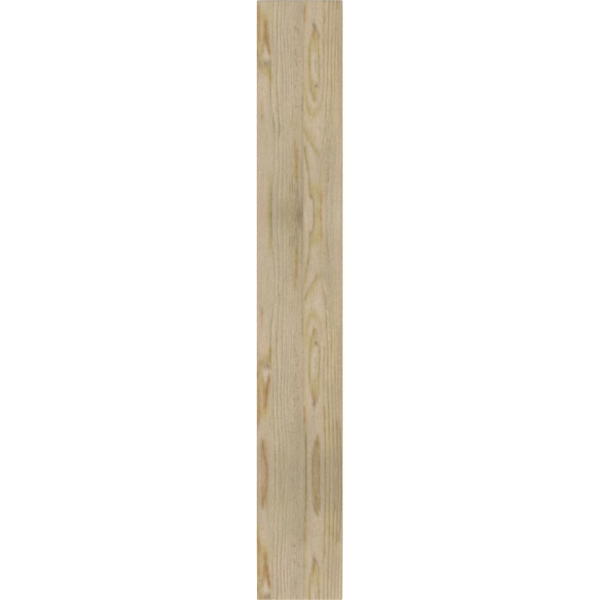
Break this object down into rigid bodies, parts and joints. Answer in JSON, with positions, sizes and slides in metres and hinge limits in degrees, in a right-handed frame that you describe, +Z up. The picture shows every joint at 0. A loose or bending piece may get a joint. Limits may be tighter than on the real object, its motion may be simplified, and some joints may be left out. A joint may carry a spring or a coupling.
{
  "type": "outlooker",
  "caption": "Solid pine outlooker glued up from staves: a level timber that carries a roof overhang at a gable, its nose cut to a cove between square fillets.",
  "frame": {"origin": "centre of the wall end, the flat end face that butts against the wall", "axes": "+Y out of the wall end towards the wall, -Y along the timber to its shaped nose, +Z up through the flat top, +X to the right for someone facing the nose"},
  "size_m": [0.102, 0.711, 0.152],
  "materials": {
    "left_pine": "planed, unfinished pale pine, matt",
    "right_pine": "planed, unfinished pale pine, matt"
  },
  "bodies": {
    "root": {"left_stave": "left_pine", "right_stave": "right_pine"}
  },
  "joints": []
}
